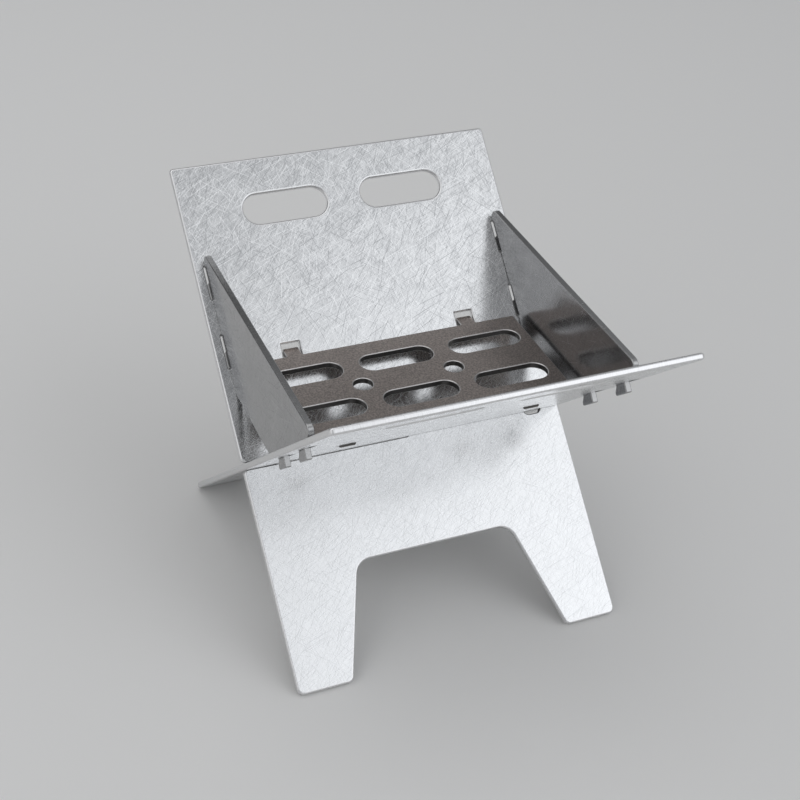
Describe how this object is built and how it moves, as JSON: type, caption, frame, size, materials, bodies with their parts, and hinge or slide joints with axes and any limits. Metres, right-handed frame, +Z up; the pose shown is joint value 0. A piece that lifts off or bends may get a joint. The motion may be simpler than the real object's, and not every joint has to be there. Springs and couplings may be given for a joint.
{
  "type": "twig stove",
  "caption": "Pocket twig stove of flat stainless sheet: crossed plates with feet and vents, hooked side panels and a slotted fire grate that all come apart to lie flat.",
  "frame": {"origin": "on the ground, at the middle of the footprint, straight under the line where the two plates cross", "axes": "+Z up, +X to the right along the plates' width, +Y to the back, the way the back plate rises"},
  "size_m": [0.054, 0.0726, 0.0569],
  "materials": {
    "plate_steel": "tumbled, fine cross-hatched scratches, bright cut edges",
    "panel_steel": "half-bright mill finish with light scratches",
    "grate_steel": "fine-grained satin, bright slot edges"
  },
  "bodies": {
    "frame": {"back_plate": "plate_steel", "front_plate": "plate_steel"},
    "grate": {"fire_grate": "grate_steel"},
    "left_panel": {"left_side_panel": "panel_steel"},
    "right_panel": {"right_side_panel": "panel_steel"}
  },
  "joints": [
    {"name": "grate_lift", "type": "slide", "parent": "frame", "child": "grate", "axis": [0, 0, 1], "range_m": [0, 0.03]},
    {"name": "left_panel_lift", "type": "slide", "parent": "frame", "child": "left_panel", "axis": [0, 0, 1], "range_m": [0, 0.03]},
    {"name": "right_panel_lift", "type": "slide", "parent": "frame", "child": "right_panel", "axis": [0, 0, 1], "range_m": [0, 0.03]}
  ]
}
